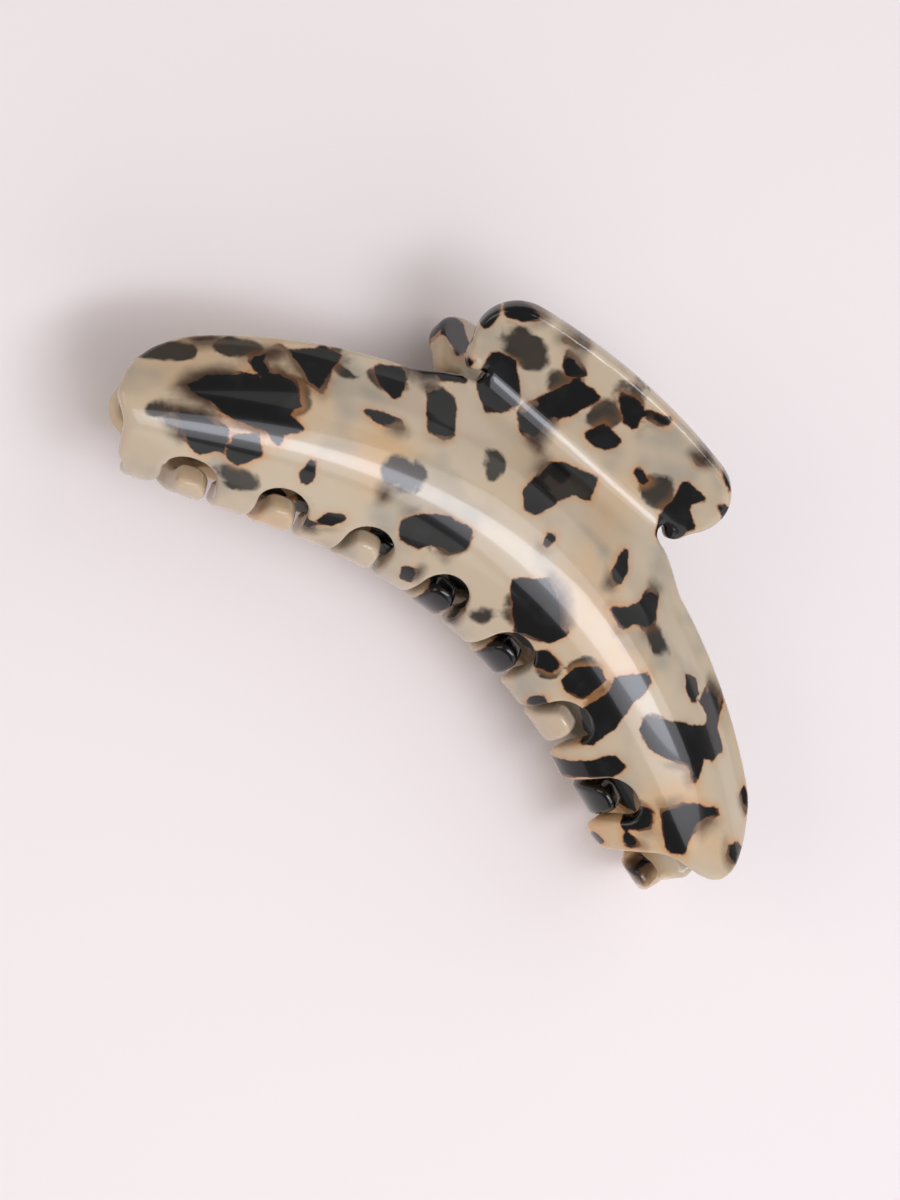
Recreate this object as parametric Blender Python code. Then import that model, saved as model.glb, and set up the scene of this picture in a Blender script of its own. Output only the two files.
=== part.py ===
"""Large claw clip in two bent sheets of cellulose acetate, lying on its rear jaw.

Frame: +X along the clip, +Y towards the thumb tabs, +Z out of the front jaw.
"""
import math

import bmesh
import bpy
from mathutils import Matrix, Vector

MM = 0.001

# sheet and section, millimetres and degrees
SHEET = 3.2            # finished thickness of the acetate
ARCH_R = 70.0          # radius of the arch along the top edge
ARCH_DROP = 0.4        # top of the arch below the fold
ARCH_RISE = 2.1        # how far the wings flatten out, at RISE_AT
RISE_AT = 0.8          # angle along the arch, radians
TAPER = 0.28           # the section shrinks towards the ends
FOLD_OUT = 6.5         # fold line from the middle plane
FOLD_R = 4.2           # radius of the thumb fold, on the outer face
TAB_LEAN = 41.0        # thumb tab from upright
BACK_LEAN = 34.0       # flat band below the fold
RIDGE_FROM = 7.5       # start of the ridge curve, along the sheet
RIDGE_R, RIDGE_TO = 11.0, -5.0      # radius, and direction of the sheet at its end
WALL_R, WALL_TO = 18.0, -45.0
CURL_R = 9.0           # the teeth curl under
FLARE, FLARE_FROM = 0.17, 24.0      # the front jaw's right teeth reach further down

# blank outline
PITCH = 16.2           # tooth to tooth, degrees along the arch
TEETH = 8
ROOT_W = 26.0          # bottom of a gap, along the sheet
ROOT_LESS = 3.0        # less than that towards the ends, per square radian
ARCH_H = 3.6           # height of the round gap end
TIP_W = 40.5           # tooth tip
END_SHORT = 3.5        # the end tooth is shorter
END_TURN = 2.2         # and leans outwards, degrees
REAR_TRIM = 1.6        # the rear jaw's round end is cut shorter, degrees
GAP_HALF = 4.4         # half width of a gap, degrees
TIP_HALF = 2.4
TAB_HALF = 16.2        # centre of the tab's corner circles
TAB_UP = 6.3
TAB_CORNER = 6.1
TAB_TOP = 13.9

# hinge
PIN_DROP = 3.4         # pin below the fold
PIN_R = 1.1
HEAD_R = 1.9
LEAF_T = 0.8
LEAF_HALF = 9.3
LEAF_FROM, LEAF_TO = 3.2, 12.0
EAR_R = 2.4
GAP = 0.3              # air between pieces
COIL_R = 2.4
WIRE_R = 0.4
COIL_TURNS = 9
COIL_HALF = 5.6
LEG_LEAN = 42.0
LEG_LEN = 14.0
SCREW_X, SCREW_W = 5.0, 8.6

# the whole clip is shifted so its box stands on the origin
SHIFT_Y = 13.42
SHIFT_Z = 14.84


def wipe():
    for obj in list(bpy.data.objects):
        bpy.data.objects.remove(obj, do_unlink=True)


def smooth(t):
    t = min(max(t, 0.0), 1.0)
    return t * t * (3 - 2 * t)


# ---- section of the sheet: out = away from the middle plane, down = towards the teeth
def direction(w):
    lean, back, ridge, wall = (math.radians(v) for v in (-TAB_LEAN, BACK_LEAN, RIDGE_TO, WALL_TO))
    half = FOLD_R * (back - lean) / 2
    ridge_end = RIDGE_FROM + (back - ridge) * RIDGE_R
    wall_end = ridge_end + (ridge - wall) * WALL_R
    if w < -half:
        return lean
    if w < half:
        return lean + (back - lean) * (w + half) / (2 * half)
    if w < RIDGE_FROM:
        return back
    if w < ridge_end:
        return back - (w - RIDGE_FROM) / RIDGE_R
    if w < wall_end:
        return ridge - (w - ridge_end) / WALL_R
    return wall - (w - wall_end) / CURL_R


def section_table():
    step = 0.02
    table = {0: (FOLD_OUT, 0.0)}
    for sign in (1, -1):
        out, down = table[0]
        for i in range(1, 2400):
            d = direction(sign * (i - 0.5) * step)
            out += sign * step * math.sin(d)
            down += sign * step * math.cos(d)
            table[sign * i] = (out, down)
    return table, step


TABLE, STEP = section_table()


def section(w):
    i = math.floor(w / STEP)
    t = w / STEP - i
    a, b = TABLE[i], TABLE[i + 1]
    return a[0] + (b[0] - a[0]) * t, a[1] + (b[1] - a[1]) * t


def outer(x, w, rear=False):
    """Point of a jaw's outer face in millimetres (x, up, out)."""
    a = math.asin(max(-0.999, min(0.999, x / ARCH_R)))
    out, down = section(w)
    shrink = 1 - TAPER * a * a
    if not rear:
        down += FLARE * smooth((a - 0.46) / 0.45) * max(0.0, w - FLARE_FROM)
    rho = ARCH_R - down * shrink
    up = rho * math.cos(a) - ARCH_R - ARCH_DROP + ARCH_RISE * (a / RISE_AT) ** 4
    wing = smooth((abs(x) - 15.0) / 11.0) * smooth((w + 2.6) / 2.6)
    g = 1 - (1 - smooth(w / 8.0)) * (1 - wing)
    return Vector((g * rho * math.sin(a) + (1 - g) * x,
                   g * up - (1 - g) * down,
                   g * out * shrink + (1 - g) * out))


def jaw_point(x, w, depth, rear=False):
    e = 0.05
    p = outer(x, w, rear)
    n = (outer(x + e, w, rear) - outer(x - e, w, rear)).cross(
        outer(x, w - e, rear) - outer(x, w + e, rear))
    n.normalize()
    return p - n * depth, n


def place(p, rear=False):
    """Section space (x, up, out) to the clip's own frame, metres."""
    x, up, out = p
    if rear:
        x, out = -x, -out
    return Vector((x, up + SHIFT_Y, out + SHIFT_Z)) * MM


# ---- the flat blank, as (x, w)
def on_arch(deg):
    return ARCH_R * math.sin(math.radians(deg))


def blank_outline(rear=False):
    pts = []
    half = PITCH / 2

    def root(deg):
        return ROOT_W - ROOT_LESS * math.radians(deg) ** 2

    # left end, from the top edge down to the end tooth
    for deg, w in ((-46.0, 0.0), (-50.0, 0.5), (-53.5, 1.7), (-56.4, 3.8), (-58.9, 7.0),
                   (-61.2, 10.8), (-62.2, 15.0), (-63.0, 19.0), (-64.8, 23.0), (-66.6, 28.0)):
        pts.append((on_arch(deg), w))
    for k in range(1, TEETH + 1):
        c = (2 * k - TEETH - 1.5) * half
        side = half - GAP_HALF
        if k > 1:
            pts.append((on_arch(c - side), root(c - half) + ARCH_H))
        tip = TIP_W - (END_SHORT if k == 1 else 0.0)
        turn = END_TURN if k == 1 else 0.0
        for dx, w in ((-side * 0.92, tip - 5.0), (-TIP_HALF - 0.35, tip - 1.7),
                      (-TIP_HALF + 0.35, tip - 0.5), (-TIP_HALF + 1.3, tip),
                      (TIP_HALF - 1.3, tip), (TIP_HALF - 0.35, tip - 0.5),
                      (TIP_HALF + 0.35, tip - 1.7), (side * 0.92, tip - 5.0)):
            pts.append((on_arch(c + dx - turn * smooth((w - 28.0) / 8.0)), w))
        # the outermost pair of teeth pass each other closely, so they are a little slimmer
        slim = {1: 0.8, TEETH: 0.4}.get(k, 0.0)
        pts.append((on_arch(c + side - slim), root(c + half) + ARCH_H))
        if k < TEETH:
            for i in range(1, 8):
                t = math.pi * i / 8
                pts.append((on_arch(c + half - GAP_HALF * math.cos(t)),
                            root(c + half) + ARCH_H * (1 - math.sin(t))))
    # right end: open recess for the other jaw's end tooth, then the round lobe
    trim = REAR_TRIM if rear else 0.0
    for deg, w in ((55.9, 25.0), (56.4, 22.9), (57.4, 21.3), (58.4, 20.2), (59.8, 18.4),
                   (60.5, 16.0), (60.1, 13.2), (58.7, 10.2), (56.6, 7.0), (54.2, 4.0),
                   (51.6, 1.8), (48.8, 0.5), (46.0, 0.0)):
        pts.append((on_arch(deg - trim * smooth((deg - 46.0) / 11.0)), w))
    pts.append((24.0, 0.0))
    pts += tab_outline()
    pts.append((-24.0, 0.0))
    return pts


def tab_outline():
    """Right wing edge, neck, round the thumb tab and back to the left wing edge."""
    right = [(19.4, 0.25), (18.2, 0.45), (17.2, 0.3), (16.7, -0.4), (16.8, -1.2)]
    rise = TAB_TOP - TAB_UP - TAB_CORNER
    crown = (TAB_HALF ** 2 - TAB_CORNER ** 2 + (TAB_TOP - TAB_UP) ** 2) / (2 * rise)
    centre = TAB_TOP - crown
    lean = math.atan2(TAB_HALF, TAB_UP - centre)
    n = 9
    low = math.radians(158)
    for i in range(n):
        t = low + (lean - low) * i / (n - 1)
        right.append((TAB_HALF + TAB_CORNER * math.sin(t), -(TAB_UP + TAB_CORNER * math.cos(t))))
    for i in range(1, 5):
        t = lean * (1 - i / 4)
        right.append((crown * math.sin(t), -(centre + crown * math.cos(t))))
    left = [(-x, w) for x, w in reversed(right[:-1])]
    return right + left


def add_object(name, bm, mat, flat_angle=35.0):
    bmesh.ops.recalc_face_normals(bm, faces=bm.faces)
    mesh = bpy.data.meshes.new(name)
    bm.to_mesh(mesh)
    bm.free()
    for poly in mesh.polygons:
        poly.use_smooth = True
    mesh.set_sharp_from_angle(angle=math.radians(flat_angle))
    obj = bpy.data.objects.new(name, mesh)
    bpy.context.scene.collection.objects.link(obj)
    if mat:
        mesh.materials.append(mat)
    return obj


def material(name, rgb, metallic, rough):
    mat = bpy.data.materials.new(name)
    mat.use_nodes = True
    node = mat.node_tree.nodes["Principled BSDF"]
    node.inputs["Base Color"].default_value = (*rgb, 1)
    node.inputs["Metallic"].default_value = metallic
    node.inputs["Roughness"].default_value = rough
    return mat


def build_jaw(name, rear, mat):
    bm = bmesh.new()
    bm.faces.new([bm.verts.new((x, w, 0)) for x, w in blank_outline(rear)])
    lines_x = [on_arch(d) for d in (-58, -53, -47, -41, -35, -29, -23.5, -18, -12, -6,
                                    0, 6, 12, 18, 23.5, 29, 35, 41, 47, 53, 58)]
    lines_w = [-3.0, -2.0, -1.0, 0.0, 1.0, 2.0, 3.0, 5.0, 7.5, 10.0, 12.5, 15.0, 18.0, 21.0, 24.0,
               27.5, 29.7, 31.9, 34.1, 36.3, 38.5]
    for x in lines_x:
        cut(bm, (x, 0, 0), (1, 0, 0))
    for w in lines_w:
        cut(bm, (0, w, 0), (0, 1, 0))
    bmesh.ops.triangulate(bm, faces=bm.faces, quad_method="BEAUTY", ngon_method="BEAUTY")
    extruded = bmesh.ops.extrude_face_region(bm, geom=bm.faces[:])
    for v in extruded["geom"]:
        if isinstance(v, bmesh.types.BMVert):
            v.co.z = SHEET
    for v in bm.verts:
        v.co = place(jaw_point(v.co.x, v.co.y, v.co.z, rear)[0], rear)
    return add_object(name, bm, mat)


def cut(bm, co, no):
    bmesh.ops.bisect_plane(bm, geom=bm.verts[:] + bm.edges[:] + bm.faces[:], dist=1e-5,
                           plane_co=co, plane_no=no)


def prism_on_jaw(name, rear, x0, x1, nx, w0, w1, nw, d0, d1, mat):
    bm = bmesh.new()
    grid = [[[bm.verts.new(place(jaw_point(x0 + (x1 - x0) * i / nx,
                                           w0 + (w1 - w0) * j / nw, d)[0], rear))
              for j in range(nw + 1)] for i in range(nx + 1)] for d in (d0, d1)]
    for layer in grid:
        for i in range(nx):
            for j in range(nw):
                bm.faces.new((layer[i][j], layer[i + 1][j], layer[i + 1][j + 1], layer[i][j + 1]))
    rim = [(i, 0) for i in range(nx)] + [(nx, j) for j in range(nw)]
    rim += [(i, nw) for i in range(nx, 0, -1)] + [(0, j) for j in range(nw, 0, -1)]
    for n, (i, j) in enumerate(rim):
        k, m = rim[(n + 1) % len(rim)]
        bm.faces.new((grid[0][i][j], grid[0][k][m], grid[1][k][m], grid[1][i][j]))
    return add_object(name, bm, mat)


def ear(name, rear, x0, x1):
    """Plate across the hinge axis, from the leaf to round the pin."""
    pts = [(EAR_R * math.cos(t), -PIN_DROP + EAR_R * math.sin(t))
           for t in (2 * math.pi * i / 20 for i in range(20))]
    xm = (x0 + x1) / 2
    for w in (LEAF_FROM + 0.4, 8.2):
        p, _ = jaw_point(xm, w, SHEET + GAP + LEAF_T / 2)
        pts.append((p.z, p.y))
    bm = bmesh.new()
    for x in (x0, x1):
        for out, up in pts:
            bm.verts.new(place((x, up, out), rear))
    bmesh.ops.convex_hull(bm, input=bm.verts[:])
    loose = [v for v in bm.verts if not v.link_faces]
    bmesh.ops.delete(bm, geom=loose, context="VERTS")
    return add_object(name, bm, None)


def lathe(name, profile, sides, origin, axis, mat):
    """Closed solid of revolution; profile is (distance along axis, radius)."""
    axis = Vector(axis).normalized()
    turn = axis.to_track_quat("Z", "Y").to_matrix().to_4x4()
    frame = Matrix.Translation(origin) @ turn
    bm = bmesh.new()
    rings = []
    for z, r in profile:
        if r == 0:
            rings.append([bm.verts.new(frame @ Vector((0, 0, z * MM)))])
        else:
            rings.append([bm.verts.new(frame @ Vector((r * MM * math.cos(t), r * MM * math.sin(t),
                                                       z * MM)))
                          for t in (2 * math.pi * i / sides for i in range(sides))])
    for a, b in zip(rings, rings[1:]):
        for i in range(sides):
            j = (i + 1) % sides
            if len(a) == 1:
                bm.faces.new((a[0], b[i], b[j]))
            elif len(b) == 1:
                bm.faces.new((a[i], b[0], a[j]))
            else:
                bm.faces.new((a[i], b[i], b[j], a[j]))
    return add_object(name, bm, mat)


def hide(obj):
    obj.hide_render = True
    obj.display_type = "WIRE"


def boolean(target, tool, operation):
    mod = target.modifiers.new(operation.lower(), "BOOLEAN")
    mod.operation = operation
    mod.solver = "EXACT"
    mod.object = tool
    hide(tool)


def build_leaf(name, rear, mat):
    d0 = SHEET + GAP
    leaf = prism_on_jaw(name, rear, -LEAF_HALF, LEAF_HALF, 8, LEAF_FROM, LEAF_TO, 6,
                        d0, d0 + LEAF_T, mat)
    boolean(leaf, ear(name + "_ear_wide", rear, LEAF_HALF - LEAF_T, LEAF_HALF), "UNION")
    inner = LEAF_HALF - LEAF_T - GAP
    boolean(leaf, ear(name + "_ear_narrow", rear, -inner, -inner + LEAF_T), "UNION")
    bore = lathe(name + "_bore", [(-12, 0), (-12, PIN_R + GAP), (12, PIN_R + GAP), (12, 0)], 24,
                 place((0, -PIN_DROP, 0)), (1, 0, 0), None)
    boolean(leaf, bore, "DIFFERENCE")
    return leaf


def build_screw(name, side, rear, jaw, leaf, mat):
    # head inside the clip, thread blind in the acetate
    base, n = jaw_point(side * SCREW_X, SCREW_W, 0)
    origin, tip = place(base, rear), place(base + n, rear)
    axis = (tip - origin).normalized()
    under = -(SHEET + GAP + LEAF_T + GAP)
    head = [(under - 0.75, 0), (under - 0.75, 0.8), (under - 0.5, 1.3), (under, 1.5),
            (under, 0.6), (-1.4, 0.6), (-1.0, 0)]
    screw = lathe(name, head, 16, origin, axis, mat)
    hole = lathe(name + "_hole", [(-9, 0), (-9, 0.9), (-0.9, 0.9), (-0.6, 0)], 16,
                 origin, axis, None)
    boolean(jaw, hole, "DIFFERENCE")
    boolean(leaf, hole, "DIFFERENCE")
    return screw


def build_pin(mat):
    end = LEAF_HALF + GAP
    profile = [(-end - 0.8, 0), (-end - 0.8, 1.2), (-end - 0.5, HEAD_R - 0.2), (-end - 0.2, HEAD_R),
               (-end, HEAD_R), (-end, PIN_R), (end, PIN_R), (end, HEAD_R), (end + 0.2, HEAD_R),
               (end + 0.5, HEAD_R - 0.2), (end + 0.8, 1.2), (end + 0.8, 0)]
    return lathe("hinge_pin", profile, 24, place((0, -PIN_DROP, 0)), (1, 0, 0), mat)


def spring_path():
    """Coil on the pin, one leg up behind each thumb tab."""
    lean = math.radians(LEG_LEAN)
    # the front leg leaves the coil on the rear side, the rear leg on the front side
    start = math.pi - lean          # angle of the front leg's tangent point
    pts = []
    steps = 14
    total = 2 * math.pi * (COIL_TURNS - 1) + math.pi + 2 * lean
    count = int(steps * total / (2 * math.pi)) + 1
    for i in range(count + 1):
        t = i / count
        ang = start + total * t
        pts.append(Vector((COIL_HALF * (1 - 2 * t), -PIN_DROP + COIL_R * math.sin(ang),
                           COIL_R * math.cos(ang))))
    return pts, lean


def build_spring(mat):
    pts, lean = spring_path()
    first = [pts[0] + Vector((0, math.cos(lean), math.sin(lean))) * d for d in (LEG_LEN, 8.0, 1.2)]
    last = [pts[-1] + Vector((0, math.cos(lean), -math.sin(lean))) * d for d in (1.2, 8.0, LEG_LEN)]
    path = first + pts + last
    bm = bmesh.new()
    sides = 7
    rings = []
    normal = None
    for i, p in enumerate(path):
        tangent = (path[min(i + 1, len(path) - 1)] - path[max(i - 1, 0)]).normalized()
        if normal is None:
            normal = Vector((1, 0, 0))
        normal = (normal - tangent * normal.dot(tangent)).normalized()
        side = tangent.cross(normal)
        rings.append([bm.verts.new(place(p + (normal * math.cos(t) + side * math.sin(t)) * WIRE_R))
                      for t in (2 * math.pi * k / sides for k in range(sides))])
    for a, b in zip(rings, rings[1:]):
        for k in range(sides):
            m = (k + 1) % sides
            bm.faces.new((a[k], a[m], b[m], b[k]))
    bm.faces.new(rings[0])
    bm.faces.new(rings[-1])
    return add_object("torsion_spring", bm, mat, 60)


def hang(pieces):
    """The moving half turns with an empty on the pin."""
    axis = bpy.data.objects.new("hinge_axis", None)
    axis.empty_display_size = 0.01
    axis.location = place((0, -PIN_DROP, 0))
    bpy.context.scene.collection.objects.link(axis)
    for obj in pieces:
        obj.parent = axis
        obj.matrix_parent_inverse = Matrix.Translation(axis.location).inverted()


def main():
    wipe()
    acetate_front = material("acetate_front", (0.62, 0.47, 0.33), 0, 0.08)
    acetate_rear = material("acetate_rear", (0.60, 0.45, 0.31), 0, 0.08)
    front = build_jaw("front_jaw", False, acetate_front)
    rear = build_jaw("rear_jaw", True, acetate_rear)
    moving = [front]
    for side_name, is_rear, jaw in (("front", False, front), ("rear", True, rear)):
        steel = material(side_name + "_leaf_steel", (0.56, 0.57, 0.58), 1, 0.3)
        leaf = build_leaf(side_name + "_hinge_leaf", is_rear, steel)
        if not is_rear:
            moving.append(leaf)
        for word, side in (("left", -1), ("right", 1)):
            name = side_name + "_screw_" + word
            # left and right as seen from outside the front jaw
            screw = build_screw(name, -side if is_rear else side, is_rear, jaw, leaf,
                                material(name + "_steel", (0.5, 0.5, 0.52), 1, 0.25))
            if not is_rear:
                moving.append(screw)
    hang(moving)
    build_pin(material("pin_steel", (0.6, 0.6, 0.62), 1, 0.2))
    build_spring(material("spring_steel", (0.45, 0.45, 0.47), 1, 0.25))


main()
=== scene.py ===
# Large claw clip in polished tortoise acetate, with a spring hinge behind its thumb tabs.
# Each sheet is drawn flat, given its thickness and rounded rim, then bent over the arch.
import math

import bmesh
import bpy
import numpy as np
from mathutils import Matrix, Vector


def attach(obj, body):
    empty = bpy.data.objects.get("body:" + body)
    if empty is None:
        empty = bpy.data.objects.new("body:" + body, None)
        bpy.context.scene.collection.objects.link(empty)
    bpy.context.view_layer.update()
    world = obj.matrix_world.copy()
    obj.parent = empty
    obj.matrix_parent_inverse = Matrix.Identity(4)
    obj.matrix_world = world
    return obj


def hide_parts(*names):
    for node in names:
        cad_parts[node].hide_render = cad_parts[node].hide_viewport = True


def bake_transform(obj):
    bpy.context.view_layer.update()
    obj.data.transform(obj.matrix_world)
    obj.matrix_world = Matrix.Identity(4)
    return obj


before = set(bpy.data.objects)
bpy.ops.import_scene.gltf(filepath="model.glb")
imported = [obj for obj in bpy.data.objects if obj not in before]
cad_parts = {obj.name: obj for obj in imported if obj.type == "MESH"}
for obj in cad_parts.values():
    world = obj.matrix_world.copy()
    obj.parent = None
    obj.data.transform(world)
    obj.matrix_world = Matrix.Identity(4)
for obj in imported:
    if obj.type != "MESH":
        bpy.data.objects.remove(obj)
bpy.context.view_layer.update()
mm = 0.001
print("frame loaded")


# sheet and section: millimetres along the sheet, degrees for its lean
sheet = {
    "thickness": 3.2,
    "rim": 0.85,              # rounding of the polished edges
    "rimSteps": 4,
    "archRadius": 70.0,       # along the top edge
    "archDrop": 0.4,
    "archRise": 2.1,          # the wings flatten out by this much
    "riseAt": 0.8,
    "taper": 0.28,            # the section shrinks towards the ends
    "foldOut": 6.5,
    "foldRadius": 4.2,
    "tabLean": -41.0,
    "backLean": 34.0,
    "ridgeFrom": 7.5,
    "ridgeRadius": 11.0, "ridgeLean": -5.0,
    "wallRadius": 18.0, "wallLean": -45.0,
    "curlRadius": 9.0,
    "flare": 0.17, "flareFrom": 24.0,    # the front jaw's right teeth reach further down
    "gridStep": 0.8,          # spacing of the lines the sheet bends on
    "foldStep": 0.4,          # closer at the fold
    "gridSide": 66.0, "gridDown": 39.0, "gridUp": 14.0, "foldHalf": 2.0,   # reach of the lines
    "shiftUp": 13.42, "shiftOut": 14.84,
}

teeth = {
    "pitch": 16.2, "count": 8,
    "rootAt": 26.0, "rootLess": 3.0, "rootHeight": 3.6,
    "tipAt": 40.5, "endShort": 3.5, "endTurn": 2.2, "rearTrim": 1.6,
    "gapHalf": 4.4, "tipHalf": 2.4,
}

thumbTab = {"half": 16.2, "up": 6.3, "corner": 6.1, "top": 13.9}


def smooth(t):
    t = min(max(t, 0.0), 1.0)
    return t * t * (3 - 2 * t)


# how the sheet runs: out from the middle plane, and down towards the teeth
def sheetLean(w):
    lean, back, ridge, wall = (math.radians(sheet[k]) for k in
                               ("tabLean", "backLean", "ridgeLean", "wallLean"))
    half = sheet["foldRadius"] * (back - lean) / 2
    ridgeEnd = sheet["ridgeFrom"] + (back - ridge) * sheet["ridgeRadius"]
    wallEnd = ridgeEnd + (ridge - wall) * sheet["wallRadius"]
    if w < -half:
        return lean
    if w < half:
        return lean + (back - lean) * (w + half) / (2 * half)
    if w < sheet["ridgeFrom"]:
        return back
    if w < ridgeEnd:
        return back - (w - sheet["ridgeFrom"]) / sheet["ridgeRadius"]
    if w < wallEnd:
        return ridge - (w - ridgeEnd) / sheet["wallRadius"]
    return wall - (w - wallEnd) / sheet["curlRadius"]


walkStep = 0.02


def walkSheet():
    places = {0: (sheet["foldOut"], 0.0)}
    for sign in (1, -1):
        out, down = places[0]
        for i in range(1, 2400):
            lean = sheetLean(sign * (i - 0.5) * walkStep)
            out += sign * walkStep * math.sin(lean)
            down += sign * walkStep * math.cos(lean)
            places[sign * i] = (out, down)
    return places


sectionPlaces = walkSheet()


def section(w):
    i = math.floor(w / walkStep)
    t = w / walkStep - i
    a, b = sectionPlaces[i], sectionPlaces[i + 1]
    return a[0] + (b[0] - a[0]) * t, a[1] + (b[1] - a[1]) * t


def outerFace(x, w, rear):
    a = math.asin(max(-0.999, min(0.999, x / sheet["archRadius"])))
    out, down = section(w)
    shrink = 1 - sheet["taper"] * a * a
    if not rear:
        down += sheet["flare"] * smooth((a - 0.46) / 0.45) * max(0.0, w - sheet["flareFrom"])
    rho = sheet["archRadius"] - down * shrink
    up = (rho * math.cos(a) - sheet["archRadius"] - sheet["archDrop"]
          + sheet["archRise"] * (a / sheet["riseAt"]) ** 4)
    wing = smooth((abs(x) - 15.0) / 11.0) * smooth((w + 2.6) / 2.6)
    g = 1 - (1 - smooth(w / 8.0)) * (1 - wing)
    return Vector((g * rho * math.sin(a) + (1 - g) * x,
                   g * up - (1 - g) * down,
                   g * out * shrink + (1 - g) * out))


def bent(x, w, depth, rear):
    e = 0.05
    p = outerFace(x, w, rear)
    n = (outerFace(x + e, w, rear) - outerFace(x - e, w, rear)).cross(
        outerFace(x, w - e, rear) - outerFace(x, w + e, rear)).normalized()
    p -= n * depth
    side = -1 if rear else 1
    return Vector((side * p.x, p.y + sheet["shiftUp"], side * p.z + sheet["shiftOut"])) * mm


# the flat blank as (x, w): w runs down the sheet from the fold, negative on the thumb tab
def onArch(degrees):
    return sheet["archRadius"] * math.sin(math.radians(degrees))


def tabOutline():
    half, up, corner, top = (thumbTab[k] for k in ("half", "up", "corner", "top"))
    right = [(19.4, 0.25), (18.2, 0.45), (17.2, 0.3), (16.7, -0.4), (16.8, -1.2)]
    crown = (half ** 2 - corner ** 2 + (top - up) ** 2) / (2 * (top - up - corner))
    centre = top - crown
    lean = math.atan2(half, up - centre)
    low = math.radians(158)
    for i in range(13):
        t = low + (lean - low) * i / 12
        right.append((half + corner * math.sin(t), -(up + corner * math.cos(t))))
    for i in range(1, 9):
        t = lean * (1 - i / 8)
        right.append((crown * math.sin(t), -(centre + crown * math.cos(t))))
    return right + [(-x, w) for x, w in reversed(right[:-1])]


def blankOutline(rear):
    half, gap, tipHalf = teeth["pitch"] / 2, teeth["gapHalf"], teeth["tipHalf"]
    side = half - gap

    def root(degrees):
        return teeth["rootAt"] - teeth["rootLess"] * math.radians(degrees) ** 2

    points = [(onArch(d), w) for d, w in
              ((-46.0, 0.0), (-50.0, 0.5), (-53.5, 1.7), (-56.4, 3.8), (-58.9, 7.0),
               (-61.2, 10.8), (-62.2, 15.0), (-63.0, 19.0), (-64.8, 23.0), (-66.6, 28.0))]
    for k in range(1, teeth["count"] + 1):
        c = (2 * k - teeth["count"] - 1.5) * half
        if k > 1:
            points.append((onArch(c - side), root(c - half) + teeth["rootHeight"]))
        tip = teeth["tipAt"] - (teeth["endShort"] if k == 1 else 0.0)
        turn = teeth["endTurn"] if k == 1 else 0.0
        for dx, w in ((-side * 0.92, tip - 5.0), (-tipHalf - 0.35, tip - 1.7),
                      (-tipHalf + 0.35, tip - 0.5), (-tipHalf + 1.3, tip),
                      (tipHalf - 1.3, tip), (tipHalf - 0.35, tip - 0.5),
                      (tipHalf + 0.35, tip - 1.7), (side * 0.92, tip - 5.0)):
            points.append((onArch(c + dx - turn * smooth((w - 28.0) / 8.0)), w))
        slim = {1: 0.8, teeth["count"]: 0.4}.get(k, 0.0)
        points.append((onArch(c + side - slim), root(c + half) + teeth["rootHeight"]))
        if k < teeth["count"]:
            for i in range(1, 12):
                t = math.pi * i / 12
                points.append((onArch(c + half - gap * math.cos(t)),
                               root(c + half) + teeth["rootHeight"] * (1 - math.sin(t))))
    trim = teeth["rearTrim"] if rear else 0.0
    points += [(onArch(d - trim * smooth((d - 46.0) / 11.0)), w) for d, w in
               ((55.9, 25.0), (56.4, 22.9), (57.4, 21.3), (58.4, 20.2), (59.8, 18.4),
                (60.5, 16.0), (60.1, 13.2), (58.7, 10.2), (56.6, 7.0), (54.2, 4.0),
                (51.6, 1.8), (48.8, 0.5), (46.0, 0.0))]
    return points + [(24.0, 0.0)] + tabOutline() + [(-24.0, 0.0)]


def cornersCut(points, rounds):
    # each round cuts every corner a little, which turns the polygon into a curve
    for _ in range(rounds):
        points = [(a[0] + (b[0] - a[0]) * t, a[1] + (b[1] - a[1]) * t)
                  for a, b in zip(points, points[1:] + points[:1]) for t in (0.2, 0.8)]
    return points


def flatSheet(rear):
    bm = bmesh.new()
    bm.faces.new([bm.verts.new((x, w, 0)) for x, w in cornersCut(blankOutline(rear), 2)])
    bmesh.ops.recalc_face_normals(bm, faces=bm.faces)
    grown = bmesh.ops.extrude_face_region(bm, geom=bm.faces[:])
    for v in grown["geom"]:
        if isinstance(v, bmesh.types.BMVert):
            v.co.z = sheet["thickness"]
    bmesh.ops.recalc_face_normals(bm, faces=bm.faces)
    rims = [e for e in bm.edges if abs(e.verts[0].co.z - e.verts[1].co.z) < 1e-6]
    bmesh.ops.bevel(bm, geom=rims, offset=sheet["rim"], offset_type="OFFSET",
                    segments=sheet["rimSteps"], profile=0.5, affect="EDGES",
                    clamp_overlap=False, material=-1)
    step = sheet["gridStep"]
    across, near = int(sheet["gridSide"] / step), int(sheet["foldHalf"] / sheet["foldStep"])
    linesX = [i * step for i in range(-across, across + 1)]
    linesW = [i * sheet["foldStep"] for i in range(-near, near + 1)]
    linesW += [sheet["foldHalf"] + i * step for i in range(1, int(sheet["gridDown"] / step))]
    linesW += [-sheet["foldHalf"] - i * step for i in range(1, int(sheet["gridUp"] / step))]
    for x in linesX:
        bmesh.ops.bisect_plane(bm, geom=bm.verts[:] + bm.edges[:] + bm.faces[:], dist=1e-4,
                               plane_co=(x, 0, 0), plane_no=(1, 0, 0))
    for w in linesW:
        bmesh.ops.bisect_plane(bm, geom=bm.verts[:] + bm.edges[:] + bm.faces[:], dist=1e-4,
                               plane_co=(0, w, 0), plane_no=(0, 1, 0))
    bmesh.ops.triangulate(bm, faces=bm.faces, quad_method="BEAUTY", ngon_method="BEAUTY")
    return bm


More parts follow.
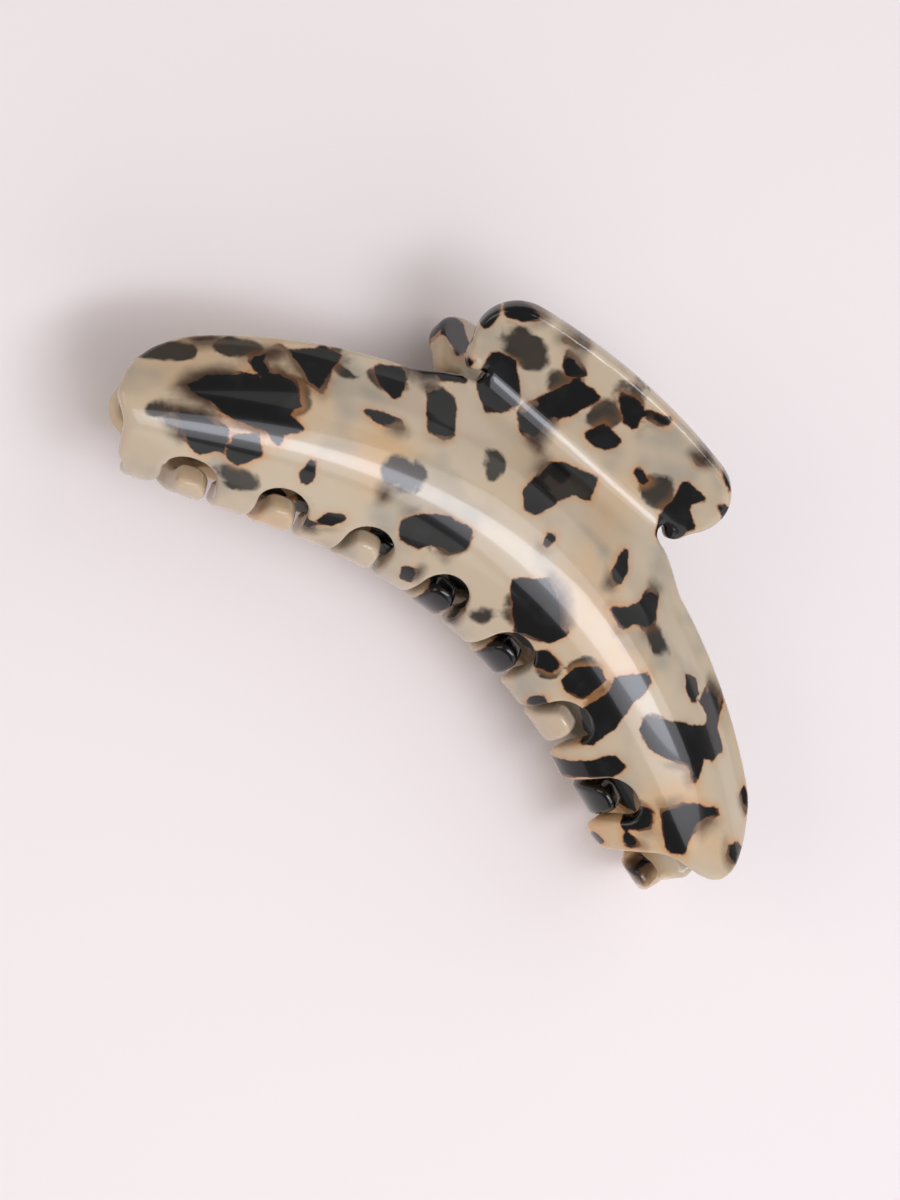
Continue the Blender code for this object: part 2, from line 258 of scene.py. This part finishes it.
# chips of dark acetate in the milky sheet, as corner points (x, w) in millimetres; the front list
# also holds one painted shadow on a tooth beside its gap
frontChipsAndShadow = [
    # left wing
    [(-55, 10), (-52.5, 7.8), (-50, 7), (-47.3, 7.3), (-45.3, 8.3), (-43.5, 5.6), (-41.5, 7.5),
     (-41.5, 11.5), (-43.8, 12.6), (-41, 15), (-45.2, 16), (-49.3, 15), (-51.8, 13.2),
     (-54.2, 12)],
    [(-45.8, 3.6), (-42.5, 1.3), (-42, 2), (-44.8, 4.2), (-44.3, 6), (-45, 8), (-46, 4.6)],
    [(-41.3, 2), (-39, 1.6), (-37, 0.6), (-35.2, 1.2), (-37, 5), (-38.2, 8.6), (-40, 7.2),
     (-40.4, 4.6)],
    [(-56.8, 14.4), (-53.4, 14.6), (-51, 16.8), (-51.7, 20.3), (-54.5, 21.6), (-56.3, 19.3)],
    [(-49.5, 18), (-47.2, 17.2), (-46.6, 20), (-49.8, 22.3), (-50.6, 21.2)],
    [(-40.2, 21.6), (-38.9, 19.3), (-38.7, 21.6), (-39.5, 22.5)],
    [(-44.8, 16.6), (-43.8, 16.3), (-44, 17.6)],
    [(-52, 0.4), (-49.5, 0.1), (-49.8, 1.2), (-51.5, 1.3)],
    [(-30.2, 1.8), (-26, 0.6), (-26.6, 3), (-27.9, 6), (-29.6, 4.2)],
    [(-27, -1), (-19.5, -1), (-19, 0.9), (-24, 1.2)],
    [(-23, 2.3), (-19.4, 4), (-18.7, 8.2), (-20, 9.6), (-22.2, 9.6)],
    [(-32, 10), (-29.8, 9.7), (-27, 10), (-26.6, 10.9), (-30, 11)],
    [(-26.8, 20), (-26.2, 20.1), (-26.4, 20.8)],
    [(-21.4, 22.7), (-18.5, 21), (-14.5, 19.6), (-9.6, 19.5), (-8.8, 21.5), (-10.5, 23.5),
     (-14.8, 23.2), (-15.8, 25), (-20.3, 25)],
    [(-34.5, 26.6), (-31.5, 25.8), (-32.8, 27.6), (-35, 28)],
    [(-38.5, 29.5), (-36, 29), (-35.5, 30.3), (-37.5, 30.8)],
    # thumb tab
    [(-23.2, -5.4), (-21.6, -6), (-22, -8.6), (-23.4, -8)],
    [(-22.2, -9.8), (-20, -11.2), (-17.2, -11.9), (-18.6, -10.2), (-20.4, -9.4)],
    [(-18, -3.7), (-15.5, -4.6), (-12.6, -2.5), (-10.9, -0.6), (-12, 1), (-14.1, 2.8),
     (-16.5, 1)],
    [(-9.8, 0.2), (-8.6, -3), (-7.9, -5.5), (-7, -8.7), (-3.4, -8.6), (-4.5, -4.9), (-5.6, -1),
     (-4.8, 2.4), (-8, 2)],
    [(-10.8, -10.7), (-9.6, -11), (-7.2, -9.9), (-8.6, -8.6), (-10, -9.2)],
    [(-12.6, -11.9), (-10.8, -13), (-9.8, -13), (-11.4, -12.2)],
    [(-0.5, -3.7), (0.1, -6.3), (3.3, -5.9), (2.6, -4.4), (1, -3.4)],
    [(-1.3, -11.2), (0.4, -11.9), (2.2, -11.4), (3.3, -9), (1.8, -8.7), (0.6, -9.8)],
    [(3, -11.9), (5.7, -12.9), (5.9, -12.1), (4.4, -11.5)],
    [(-5.8, -15.2), (-3, -14.9), (-0.2, -15), (-0.4, -16.5), (-5.6, -16.5)],
    [(12.4, -11.8), (13.6, -13.2), (14.4, -12.1), (13.4, -11.2)],
    [(8.4, -4.6), (10.2, -4.2), (10, -3.8), (8.6, -4.2)],
    [(15.2, -5.5), (14.4, -7.6), (17.8, -7.7), (16.8, -5.6), (17.6, -4.7), (20, -3.5),
     (19, -1), (16.8, 0), (15.5, -2.7)],
    [(16.2, -13.4), (18, -12.2), (19.6, -11.4), (20, -13.2)],
    [(20.4, -8.8), (22.4, -8.9), (22.2, -7.7)],
    # below the fold
    [(-0.8, 2.2), (4.8, 0.3), (5, 3.7), (2.5, 4.5), (0.5, 8), (-1.5, 12), (-3.5, 12.2),
     (-4.8, 10.6), (-3, 4.3)],
    [(3, 21.3), (7.5, 18), (11, 18), (15, 20), (17, 21), (16.5, 23.5), (11.5, 26), (8, 24.5)],
    [(14.3, 5.5), (16, 7.5), (16.5, 10), (15.5, 11.5), (14.6, 10)],
    [(18.8, 13.6), (20.5, 11.8), (21.5, 9), (21, 5.5), (22.3, 5), (25, 9), (25, 11),
     (22.5, 11.5), (22, 14)],
    [(2.2, 13.6), (3.2, 13), (2.8, 14.6)],
    # right wing
    [(34.4, 7.6), (35.4, 5.8), (36.9, 6.8), (37.3, 8.8), (35.6, 8.8)],
    [(38.3, 6.6), (37.2, 2.2), (39.5, 1), (42.5, 5), (45, 5), (45.5, 9), (44.8, 11),
     (48, 14.3), (45.8, 13.5), (43.5, 17), (41.5, 18.8), (38.5, 18.7), (37, 17.5),
     (38.8, 14.8), (41, 11), (41.8, 7.2), (40.5, 5.7)],
    [(30.7, 14.6), (32, 15), (33.5, 18.4), (36.5, 23), (38, 27), (37, 30), (34.8, 28.5),
     (33.8, 25.2), (31.8, 25), (30.8, 20.5), (29, 18.6)],
    [(24, 22.8), (26, 20.2), (28.2, 20.6), (29.3, 24.5), (27, 25.5), (25, 25)],
    [(17, 26.3), (18, 24.8), (21.5, 24.7), (22, 25.8), (19.5, 27)],
    [(51.2, 21), (51, 17), (52.4, 11), (53.7, 15.4), (54.7, 17.8), (57.3, 20.2), (57, 22.6),
     (53.7, 21.8)],
    [(50.7, 25.3), (51.2, 23), (53.5, 24.3), (53.7, 28.3), (52.4, 28.2)],
    [(56.6, 7), (57.6, 5.5), (58.6, 7.5), (58, 11), (57, 10)],
    [(50.6, 1.2), (52.6, 1), (53, 2.4), (51.6, 2.6)],
    # teeth, with one painted shadow
    [(26, 31.5), (26.2, 29.5), (28.3, 30), (28.8, 31.8), (27.2, 33)],
    [(40, 37), (41, 33), (41.8, 28), (41.5, 25), (43.5, 24), (44.5, 26.5), (43.8, 30),
     (43.5, 36)],
    [(54.5, 28.5), (56.3, 27.3), (56.5, 29.5)],
    [(55, 36), (55.8, 34.6), (56.4, 36.8), (55.8, 38)],
    [(-16, 29), (-13, 28.4), (-12.5, 30.4), (-14.5, 31)],
    # painted shadow: shade on the tooth's edge beside the gap, drawn as a dark patch like a chip
    [(-3, 30.5), (0.5, 29.5), (2, 33), (-1, 35)],
    [(11, 29), (14, 28.6), (14.4, 33), (12, 36), (10.6, 33)],
]

# chips under the surface, seen soft through the milky acetate: x, w, half width, half height
frontDeep = [
    (-55, 2.6, 3.4, 2.4), (-47, 2.2, 2.6, 2), (-35, 2.4, 2.6, 2.8), (-57, 15.8, 2.6, 3),
    (-49.5, 24.8, 3.4, 2.4), (-28.6, 3, 2.8, 2.6), (-24.6, 16.8, 3.8, 2.6), (-16, -7.2, 4.2, 2.8),
    (-1.2, -7.5, 2.4, 3), (-0.8, -12.4, 2.6, 2.2), (13, -4.4, 3.2, 2.6), (-11.6, 9.4, 2.2, 2.8),
    (27.5, 10, 3, 2), (39.6, 17.2, 3, 2.4), (24.6, 21.6, 2.8, 2.4), (9, 23.5, 5, 3),
    (-47, 14, 5, 3), (-42.5, 9.5, 3, 3.6), (51.5, 25, 2.4, 2.4), (31, 22, 3, 3.4),
    (-7, -7, 3.4, 2.6), (20.5, 26, 3, 2), (-12, 22, 5, 2.6), (3.4, 28, 3, 2.4),
]

rearChips = [
    # the tips that show between the front teeth
    [(2.5, 33), (7.5, 32), (8, 41), (2, 41)],
    [(-18, 34), (-12, 33), (-11.5, 41), (-18, 41)],
    [(-52, 31), (-46, 30), (-45.6, 41), (-51, 41)],
    [(-62.4, 34), (-60.4, 33.5), (-60, 37), (-62, 37)],
    # thumb tab
    [(18.2, -3), (21.4, -4.4), (21.8, -8.6), (19.4, -9.4), (17.4, -6)],
    [(22, -9.8), (23, -7), (22.6, -4.6), (21.8, -6.6)],
    [(-12, -4), (-8, -6), (-4, -9), (-6, -12), (-10, -11), (-13, -8)],
    [(2, -12), (6, -13.5), (9, -10), (5, -7.5)],
    [(-20, -5), (-17, -8), (-15, -4), (-18, -2.6)],
    # left wing
    [(-58, 9), (-54, 5), (-51, 8), (-53, 13), (-57, 13)],
    [(-48, 3), (-43, 2), (-41, 7), (-45, 12), (-46, 7)],
    [(-44, 17), (-38, 15), (-35, 19), (-39, 22), (-43, 21)],
    [(-53, 20), (-50, 18), (-47, 23), (-51, 26)],
    [(-33, 6), (-28, 3), (-25, 8), (-29, 12), (-31, 10)],
    [(-32, 24), (-28, 20), (-24, 23), (-27, 29)],
    # middle
    [(-19, 12), (-13, 9), (-11, 14), (-16, 18)],
    [(-8, 1), (-2, 3), (-3, 9), (-7, 8)],
    [(-6, 20), (0, 17), (3, 21), (-1, 26), (-5, 24)],
    [(5, 8), (11, 6), (14, 11), (9, 14)],
    [(12, 22), (17, 20), (20, 26), (15, 28)],
    # right wing
    [(22, 4), (27, 2), (30, 7), (26, 10)],
    [(26, 18), (31, 14), (34, 18), (30, 24)],
    [(37, 10), (42, 6), (45, 12), (41, 17), (39, 13)],
    [(38, 26), (42, 22), (45, 27), (41, 30)],
    [(49, 4), (54, 4), (56, 9), (51, 12)],
    [(50, 19), (55, 16), (58, 20), (53, 24)],
]

rearDeep = [
    (-50, 9, 4, 3), (-36, 12, 3.4, 3), (-20, 22, 4, 3), (-14, -6, 4, 3), (0, 12, 4, 3),
    (12, 3, 4, 3), (20, 14, 4, 3), (33, 24, 4, 3), (46, 20, 4, 3), (3, -5, 3, 3),
]


def chipAndShadowDepth(points, chipsAndShadow):
    # how far each point lies inside the nearest patch (the chips, and on the front jaw one
    # painted shadow), in millimetres; negative outside
    best = np.full(len(points), -9.0)
    for chipAndShadow in chipsAndShadow:
        corners = np.array(chipAndShadow, float)
        near = np.full(len(points), 9.0)
        inside = np.zeros(len(points), bool)
        for a, b in zip(corners, np.roll(corners, -1, axis=0)):
            d = b - a
            t = np.clip(((points - a) @ d) / (d @ d), 0, 1)
            near = np.minimum(near, np.linalg.norm(points - a - t[:, None] * d, axis=1))
            crosses = (a[1] > points[:, 1]) != (b[1] > points[:, 1])
            across = a[0] + (points[:, 1] - a[1]) * d[0] / (d[1] if abs(d[1]) > 1e-9 else 1e-9)
            inside ^= crosses & (points[:, 0] < across)
        best = np.maximum(best, np.where(inside, near, -near))
    return best


def deepShade(points, spots):
    shade = np.zeros(len(points))
    for x, w, halfX, halfW in spots:
        r = np.sqrt(((points[:, 0] - x) / halfX) ** 2 + ((points[:, 1] - w) / halfW) ** 2)
        shade = np.maximum(shade, np.clip(1.35 - r, 0, 1))
    return shade * shade * (3 - 2 * shade)


def newObject(name, bm, material):
    mesh = bpy.data.meshes.new(name)
    bm.to_mesh(mesh)
    bm.free()
    mesh.materials.append(material)
    made = bpy.data.objects.new(name, mesh)
    bpy.context.scene.collection.objects.link(made)
    return made


def bentJaw(name, rear, chipsAndShadow, deep, body, material):
    bm = flatSheet(rear)
    flatPlaces = np.array([(v.co.x, v.co.y) for v in bm.verts])
    for v in bm.verts:
        v.co = bent(v.co.x, v.co.y, v.co.z, rear)
    bmesh.ops.recalc_face_normals(bm, faces=bm.faces)
    jaw = newObject(name, bm, material)
    for polygon in jaw.data.polygons:
        polygon.use_smooth = True
    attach(jaw, body)
    for attribute, values in (("chipAndShadowDepth", chipAndShadowDepth(flatPlaces, chipsAndShadow)),
                              ("deepShade", deepShade(flatPlaces, deep))):
        layer = jaw.data.attributes.new(attribute, "FLOAT", "POINT")
        layer.data.foreach_set("value", values.astype(np.float32))
    return jaw


# materials
def linear(hexColour):
    parts = [int(hexColour[i:i + 2], 16) / 255 for i in (0, 2, 4)]
    return [c / 12.92 if c <= 0.04045 else ((c + 0.055) / 1.055) ** 2.4 for c in parts] + [1.0]


def addNode(tree, kind, settings=None, sockets=None, links=None):
    # settings are the node's own properties, sockets its constant inputs, links what feeds it
    node = tree.nodes.new(kind)
    for key, value in (settings or {}).items():
        setattr(node, key, value)
    for key, value in (sockets or {}).items():
        node.inputs[key].default_value = value
    for key, source in (links or {}).items():
        tree.links.new(source, node.inputs[key])
    return node


def newMaterial(name):
    material = bpy.data.materials.new(name)
    material.use_nodes = True
    tree = material.node_tree
    tree.nodes.clear()
    out = addNode(tree, "ShaderNodeOutputMaterial")
    shader = addNode(tree, "ShaderNodeBsdfPrincipled")
    tree.links.new(shader.outputs[0], out.inputs[0])
    return material, tree, shader


acetate = {
    "cream": "c6b69e", "grey": "a29b8e", "tan": "cfaa7c", "glow": "c68c52",
    # near black of the chips, also painted into the shadow patch on a front tooth
    "amber": "84491f", "amberDark": "1c0e07", "chipAndShadow": "020202", "deep": "231f1b",
    "smoke": "14181b",
    "halo": 0.12,             # width of the amber edge, mm
    "ragged": 0.55,           # how far the chip edges wander, mm
    "grow": 0.3,              # every chip a little larger, mm
    "roughness": 0.15, "ior": 1.49, "shine": 0.3,
    "polish": 0.4, "polishRoughness": 0.035,   # the buffed skin, sharper than the body below it
    "milk": 0.3,              # share of light that scatters under the surface
    "scatter": (1.0, 0.75, 0.55), "scatterDepth": 2.0,        # red goes furthest; mm
    "toneSize": 24.0, "cloudSize": 9.0,       # drift of the ground colour, mm
    "edgeSize": 2.2, "patchSize": 3.4, "tearSize": 4.0, "diveSize": 11.0,
}


def tortoiseAcetate(name, offset):
    # cellulose acetate, block-pressed from chips and polished: milky, warm and very glossy
    material, tree, shader = newMaterial(name)
    smoothStep = {"interpolation_type": "SMOOTHSTEP"}
    colourMix = {"data_type": "RGBA"}
    place = addNode(tree, "ShaderNodeTexCoord").outputs["Object"]
    moved = addNode(tree, "ShaderNodeMapping", sockets={"Location": (offset, offset, 0)},
                    links={"Vector": place}).outputs[0]
    chipAndShadow = addNode(tree, "ShaderNodeAttribute", {"attribute_name": "chipAndShadowDepth"}).outputs["Fac"]
    deep = addNode(tree, "ShaderNodeAttribute", {"attribute_name": "deepShade"}).outputs["Fac"]

    # the edges of the chips and of the painted shadow wander
    wobble = addNode(tree, "ShaderNodeTexNoise",
                     sockets={"Scale": 1 / (acetate["edgeSize"] * mm), "Detail": 3.0,
                              "Roughness": 0.6},
                     links={"Vector": moved}).outputs["Fac"]
    wander = addNode(tree, "ShaderNodeMath", {"operation": "MULTIPLY_ADD"},
                     sockets={1: acetate["ragged"] * 2, 2: acetate["grow"] - acetate["ragged"]},
                     links={0: wobble}).outputs[0]
    edge = addNode(tree, "ShaderNodeMath", {"operation": "ADD"},
                   links={0: chipAndShadow, 1: wander}).outputs[0]

    # milky ground, cream drifting to tan and grey
    tone = addNode(tree, "ShaderNodeTexNoise",
                   sockets={"Scale": 1 / (acetate["toneSize"] * mm), "Detail": 1.5},
                   links={"Vector": moved}).outputs["Fac"]
    tanShare = addNode(tree, "ShaderNodeMapRange", smoothStep,
                       sockets={"From Min": 0.48, "From Max": 0.7},
                       links={"Value": tone}).outputs[0]
    base = addNode(tree, "ShaderNodeMix", colourMix,
                   sockets={6: linear(acetate["cream"]), 7: linear(acetate["tan"])},
                   links={0: tanShare}).outputs[2]
    cloud = addNode(tree, "ShaderNodeTexNoise",
                    sockets={"Scale": 1 / (acetate["cloudSize"] * mm), "Detail": 2.0},
                    links={"Vector": moved}).outputs["Fac"]
    greyShare = addNode(tree, "ShaderNodeMapRange", smoothStep,
                        sockets={"From Min": 0.47, "From Max": 0.72, "To Max": 0.8},
                        links={"Value": cloud}).outputs[0]
    base = addNode(tree, "ShaderNodeMix", colourMix, sockets={7: linear(acetate["grey"])},
                   links={0: greyShare, 6: base}).outputs[2]

    # chips that lie deeper: angular patches with torn, soft edges
    patches = addNode(tree, "ShaderNodeTexVoronoi", {"feature": "SMOOTH_F1"},
                      sockets={"Scale": 1 / (acetate["patchSize"] * mm), "Smoothness": 0.25,
                               "Randomness": 1.0},
                      links={"Vector": moved}).outputs["Color"]
    tear = addNode(tree, "ShaderNodeTexNoise",
                   sockets={"Scale": 1 / (acetate["tearSize"] * mm), "Detail": 3.0},
                   links={"Vector": moved}).outputs["Fac"]
    tear = addNode(tree, "ShaderNodeMath", {"operation": "MULTIPLY_ADD"},
                   sockets={1: 2.6, 2: -1.75}, links={0: tear}).outputs[0]
    tear = addNode(tree, "ShaderNodeMath", {"operation": "ADD"},
                   links={0: tear, 1: patches}).outputs[0]
    near = addNode(tree, "ShaderNodeMapRange", smoothStep,
                   sockets={"From Min": 0.0, "From Max": 0.35},
                   links={"Value": deep}).outputs[0]
    torn = addNode(tree, "ShaderNodeMath", {"operation": "MULTIPLY_ADD"},
                   links={0: tear, 1: near, 2: deep}).outputs[0]
    under = addNode(tree, "ShaderNodeMapRange", smoothStep,
                    sockets={"From Min": 0.15, "From Max": 0.85, "To Max": 0.95},
                    links={"Value": torn}).outputs[0]
    base = addNode(tree, "ShaderNodeMix", colourMix, sockets={7: linear(acetate["deep"])},
                   links={0: under, 6: base}).outputs[2]

    # where a chip dives under the surface its edge goes soft and loses its amber line
    dive = addNode(tree, "ShaderNodeTexNoise",
                   sockets={"Scale": 1 / (acetate["diveSize"] * mm), "Detail": 1.0},
                   links={"Vector": moved}).outputs["Fac"]
    soft = addNode(tree, "ShaderNodeMapRange", smoothStep,
                   sockets={"From Min": 0.53, "From Max": 0.63},
                   links={"Value": dive}).outputs[0]
    fade = addNode(tree, "ShaderNodeMapRange", smoothStep,
                   sockets={"From Min": -2.2, "From Max": 0.9},
                   links={"Value": edge}).outputs[0]
    fade = addNode(tree, "ShaderNodeMath", {"operation": "MULTIPLY"},
                   links={0: soft, 1: fade}).outputs[0]
    base = addNode(tree, "ShaderNodeMix", colourMix, sockets={7: linear(acetate["deep"])},
                   links={0: fade, 6: base}).outputs[2]

    # a warm glow, a thin amber line and a dark rim round the crisp edges
    crisp = addNode(tree, "ShaderNodeMath", {"operation": "MULTIPLY_ADD"},
                    sockets={1: -0.9, 2: 1.0}, links={0: soft}).outputs[0]
    warm = addNode(tree, "ShaderNodeMapRange", smoothStep,
                   sockets={"From Min": 0.38, "From Max": 0.6, "To Min": 0.25},
                   links={"Value": tone}).outputs[0]
    glow = addNode(tree, "ShaderNodeMapRange", smoothStep,
                   sockets={"From Min": -1.7, "From Max": 0.0, "To Max": 0.55},
                   links={"Value": edge}).outputs[0]
    line = addNode(tree, "ShaderNodeMapRange", smoothStep,
                   sockets={"From Min": -0.2 - acetate["halo"] * 2, "From Max": -0.12,
                            "To Max": 0.85},
                   links={"Value": edge}).outputs[0]
    rimDark = addNode(tree, "ShaderNodeMapRange", smoothStep,
                      sockets={"From Min": -0.25, "From Max": -0.05},
                      links={"Value": edge}).outputs[0]
    glow = addNode(tree, "ShaderNodeMath", {"operation": "MULTIPLY"},
                   links={0: glow, 1: warm}).outputs[0]
    for share, colour in ((glow, "glow"), (line, "amber"), (rimDark, "amberDark")):
        share = addNode(tree, "ShaderNodeMath", {"operation": "MULTIPLY"},
                        links={0: share, 1: crisp}).outputs[0]
        base = addNode(tree, "ShaderNodeMix", colourMix, sockets={7: linear(acetate[colour])},
                       links={0: share, 6: base}).outputs[2]

    # the chip itself, near black with smoky parts; the painted shadow on the front tooth gets the
    # same near black
    smoky = addNode(tree, "ShaderNodeMapRange", smoothStep,
                    sockets={"From Min": 0.0, "From Max": 0.7, "To Max": 0.8},
                    links={"Value": tear}).outputs[0]
    dark = addNode(tree, "ShaderNodeMix", colourMix,
                   sockets={6: linear(acetate["chipAndShadow"]), 7: linear(acetate["smoke"])},
                   links={0: smoky}).outputs[2]
    inside = addNode(tree, "ShaderNodeMath", {"operation": "MULTIPLY_ADD"},
                     sockets={1: -0.8}, links={0: soft, 2: edge}).outputs[0]
    inside = addNode(tree, "ShaderNodeMapRange", smoothStep,
                     sockets={"From Min": -0.15, "From Max": 0.15},
                     links={"Value": inside}).outputs[0]
    base = addNode(tree, "ShaderNodeMix", colourMix,
                   links={0: inside, 6: base, 7: dark}).outputs[2]

    tree.links.new(base, shader.inputs["Base Color"])
    shader.inputs["Roughness"].default_value = acetate["roughness"]
    shader.inputs["IOR"].default_value = acetate["ior"]
    shader.inputs["Specular IOR Level"].default_value = acetate["shine"]
    shader.inputs["Coat Weight"].default_value = acetate["polish"]
    shader.inputs["Coat Roughness"].default_value = acetate["polishRoughness"]
    shader.inputs["Subsurface Weight"].default_value = acetate["milk"]
    shader.inputs["Subsurface Radius"].default_value = acetate["scatter"]
    shader.inputs["Subsurface Scale"].default_value = acetate["scatterDepth"] * mm
    return material


steel = {"plate": "b9bbbe", "wire": "9fa1a5", "plateRoughness": 0.28, "wireRoughness": 0.2,
         "grain": 0.6}        # brushing lines, mm apart


def brushedSteel(name, colour, roughness, along):
    # stainless strip, brushed along its length
    material, tree, shader = newMaterial(name)
    place = addNode(tree, "ShaderNodeTexCoord").outputs["Object"]
    fine = 1 / (steel["grain"] * mm)
    stretch = [fine] * 3
    stretch[along] = fine / 14
    moved = addNode(tree, "ShaderNodeMapping", sockets={"Scale": stretch},
                    links={"Vector": place}).outputs[0]
    grain = addNode(tree, "ShaderNodeTexNoise", sockets={"Scale": 1.0, "Detail": 3.0},
                    links={"Vector": moved}).outputs["Fac"]
    shine = addNode(tree, "ShaderNodeMapRange",
                    sockets={"To Min": roughness - 0.07, "To Max": roughness + 0.1},
                    links={"Value": grain}).outputs[0]
    tree.links.new(shine, shader.inputs["Roughness"])
    shader.inputs["Base Color"].default_value = linear(colour)
    shader.inputs["Metallic"].default_value = 1.0
    return material


# the two jaws
frontAcetate = tortoiseAcetate("polished tortoise acetate front", 0.0)
rearAcetate = tortoiseAcetate("polished tortoise acetate rear", 0.037)
frontJaw = bentJaw("front_shell", False, frontChipsAndShadow, frontDeep,
                   "front_half", frontAcetate)
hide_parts("front_jaw")
rearJaw = bentJaw("rear_shell", True, rearChips, rearDeep,
                  "rear_half", rearAcetate)
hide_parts("rear_jaw")
print("jaws bent")

# hinge
plateSteel = brushedSteel("brushed stainless strip", steel["plate"], steel["plateRoughness"], 0)
wireSteel = brushedSteel("drawn stainless wire", steel["wire"], steel["wireRoughness"], 0)
for name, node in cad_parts.items():
    if "jaw" in name:
        continue
    node.data.materials.clear()
    node.data.materials.append(wireSteel if name == "hinge_pin" else plateSteel)

# torsion spring: millimetres, round the pin, with one leg behind each thumb tab
spring = {
    "coilRadius": 2.4, "wire": 0.4, "turns": 9, "half": 5.6,
    "legLean": 42.0, "legLength": 14.0, "pinDrop": 3.4, "stepsPerTurn": 32,
}


def springPath():
    lean = math.radians(spring["legLean"])
    total = 2 * math.pi * (spring["turns"] - 1) + math.pi + 2 * lean
    count = int(spring["stepsPerTurn"] * total / (2 * math.pi))
    coil = []
    for i in range(count + 1):
        angle = math.pi - lean + total * i / count
        coil.append(Vector((spring["half"] * (1 - 2 * i / count),
                            spring["coilRadius"] * math.sin(angle) - spring["pinDrop"],
                            spring["coilRadius"] * math.cos(angle))))
    frontLeg = Vector((0, math.cos(lean), math.sin(lean)))
    rearLeg = Vector((0, math.cos(lean), -math.sin(lean)))
    return ([coil[0] + frontLeg * spring["legLength"]] + coil
            + [coil[-1] + rearLeg * spring["legLength"]])


curve = bpy.data.curves.new("spring line", "CURVE")
curve.dimensions = "3D"
curve.bevel_depth = spring["wire"] * mm
curve.bevel_resolution = 3
curve.use_fill_caps = True
line = curve.splines.new("POLY")
path = springPath()
line.points.add(len(path) - 1)
for point, place in zip(line.points, path):
    point.co = (*((place + Vector((0, sheet["shiftUp"], sheet["shiftOut"]))) * mm), 1)
wire = bpy.data.objects.new("spring line", curve)
bpy.context.scene.collection.objects.link(wire)
bpy.context.view_layer.update()
bm = bmesh.new()
bm.from_mesh(wire.to_mesh())
wire.to_mesh_clear()
bpy.data.objects.remove(wire)
bmesh.ops.remove_doubles(bm, verts=bm.verts, dist=1e-7)
bmesh.ops.recalc_face_normals(bm, faces=bm.faces)
springWire = newObject("spring_wire", bm, wireSteel)
for polygon in springWire.data.polygons:
    polygon.use_smooth = len(polygon.vertices) == 4     # the cut ends stay flat
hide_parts("torsion_spring")
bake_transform(springWire)
print("hinge finished")

# light, floor and camera
studio = {
    "air": "faf6f6", "airStrength": 0.34,
    "floor": "f7f0f0",
    "overheadPower": 0.7, "hazePower": 1.5, "keyPower": 2.0, "fillPower": 1.4,
    "windowPower": 1.2,
    "floorHalf": 3.0,         # metres
    "focal": 78.0, "sensor": 36.0,
    "cameraAt": (-110.7, -97.05, 342.2),      # millimetres
    "cameraRight": (0.735, 0.554, 0.392),
    "cameraDown": (0.603, -0.797, -0.005),
    "cameraAhead": (0.310, 0.240, -0.920),
}


def softbox(name, direction, distance, size, power, colour):
    light = bpy.data.lights.new(name, "AREA")
    light.shape = "RECTANGLE"
    light.size, light.size_y = size
    light.energy = power
    light.color = linear(colour)[:3]
    lamp = bpy.data.objects.new(name, light)
    bpy.context.scene.collection.objects.link(lamp)
    centre = Vector((0, sheet["shiftUp"], sheet["shiftOut"])) * mm
    lamp.location = centre + Vector(direction).normalized() * distance
    lamp.rotation_euler = Vector(direction).to_track_quat("Z", "Y").to_euler()
    return lamp


softbox("overhead", (0.3, -0.2, 0.93), 0.6, (0.30, 0.10), studio["overheadPower"], "eef4ff")
softbox("overhead haze", (0.3, -0.12, 0.93), 0.7, (0.60, 0.30), studio["hazePower"], "fbf8ff")
softbox("key", (0.75, -0.5, 0.45), 0.9, (0.8, 0.8), studio["keyPower"], "fffdfa")
softbox("window", (0.2, 0.8, 0.75), 0.9, (0.8, 0.8), studio["windowPower"], "fffdfa")
softbox("fill", (-0.75, -0.45, 0.45), 0.8, (0.5, 0.5), studio["fillPower"], "fff6f0")

world = bpy.data.worlds.new("studio")
world.use_nodes = True
background = world.node_tree.nodes["Background"]
background.inputs[0].default_value = linear(studio["air"])
background.inputs[1].default_value = studio["airStrength"]
bpy.context.scene.world = world
bpy.context.scene.view_settings.view_transform = "Standard"

bm = bmesh.new()
bmesh.ops.create_grid(bm, x_segments=1, y_segments=1, size=studio["floorHalf"])
floorPaint, tree, shader = newMaterial("pale matt paint")
shader.inputs["Base Color"].default_value = linear(studio["floor"])
shader.inputs["Roughness"].default_value = 0.9
shader.inputs["Specular IOR Level"].default_value = 0.1
floor = newObject("floor", bm, floorPaint)

camera = bpy.data.objects.new("camera", bpy.data.cameras.new("camera"))
bpy.context.scene.collection.objects.link(camera)
camera.data.lens = studio["focal"]
camera.data.sensor_width = studio["sensor"]
right, down, ahead = (Vector(studio[key]).normalized() for key in
                      ("cameraRight", "cameraDown", "cameraAhead"))
turn = Matrix((right, -down, -ahead)).transposed().to_4x4()
camera.matrix_world = Matrix.Translation(Vector(studio["cameraAt"]) * mm) @ turn
camera.data.clip_start, camera.data.clip_end = 0.01, 20
bpy.context.scene.camera = camera
print("light, floor and camera set")
